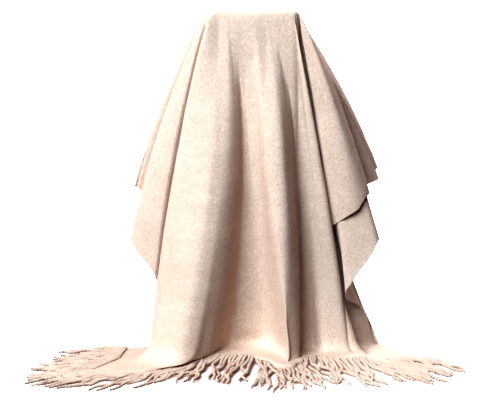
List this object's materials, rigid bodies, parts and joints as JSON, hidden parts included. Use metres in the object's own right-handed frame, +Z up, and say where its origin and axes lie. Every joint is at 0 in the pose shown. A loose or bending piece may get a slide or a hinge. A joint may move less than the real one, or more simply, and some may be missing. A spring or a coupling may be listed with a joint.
{
  "type": "pashmina shawl draped over a square plinth",
  "caption": "Fringed pashmina shawl draped over a square plinth, falling in folds to the floor in front and behind.",
  "frame": {"origin": "middle of the plinth's underside, on the floor", "axes": "+Z up, -Y towards the front hem, +X to the right seen from the front"},
  "size_m": [0.8488, 0.7007, 0.7221],
  "materials": {
    "cloth": "brushed wool",
    "fringe": "twisted wool",
    "plinth": "painted, matt"
  },
  "bodies": {
    "root": {"plinth": "plinth", "top_panel": "cloth", "front_fall": "cloth", "right_fall": "cloth", "back_fall": "cloth", "left_fall": "cloth", "front_fringe": "fringe", "back_fringe": "fringe"}
  },
  "joints": []
}
